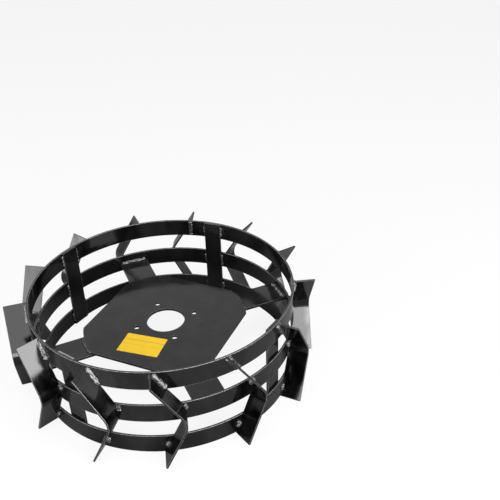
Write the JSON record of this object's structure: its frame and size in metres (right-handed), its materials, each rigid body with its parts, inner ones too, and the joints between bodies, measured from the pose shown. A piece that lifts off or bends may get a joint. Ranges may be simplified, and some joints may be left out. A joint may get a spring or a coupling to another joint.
{
  "type": "tiller cage wheel",
  "caption": "Steel cage wheel: folded V lugs stand on edge round flat-bar rims, carried by arms on a bored hub plate that bolts to a tiller's axle flange.",
  "frame": {"origin": "centre of the wheel: on the axle line, in the middle plane of the three rims", "axes": "+Z along the axle, out through the plate's labelled face; +X and +Y in the wheel's plane"},
  "size_m": [0.4961, 0.497, 0.1534],
  "materials": {
    "black_enamel": "gloss",
    "weld_enamel": "gloss",
    "label_vinyl": "satin"
  },
  "bodies": {
    "root": {"rim_lower": "black_enamel", "rim_middle": "black_enamel", "rim_upper": "black_enamel", "hub_plate": "black_enamel", "arm_1": "black_enamel", "arm_2": "black_enamel", "arm_3": "black_enamel", "arm_4": "black_enamel", "cross_bar_1": "black_enamel", "cross_bar_2": "black_enamel", "cross_bar_3": "black_enamel", "cross_bar_4": "black_enamel", "lug_01": "black_enamel", "lug_02": "black_enamel", "lug_03": "black_enamel", "lug_04": "black_enamel", "lug_05": "black_enamel", "lug_06": "black_enamel", "lug_07": "black_enamel", "lug_08": "black_enamel", "lug_09": "black_enamel", "lug_10": "black_enamel", "lug_11": "black_enamel", "lug_12": "black_enamel", "lug_13": "black_enamel", "rim_seam_welds": "weld_enamel", "arm_rim_welds": "weld_enamel", "arm_plate_welds": "weld_enamel", "cross_bar_welds": "weld_enamel", "lug_welds": "weld_enamel", "blank_label": "label_vinyl"}
  },
  "joints": []
}
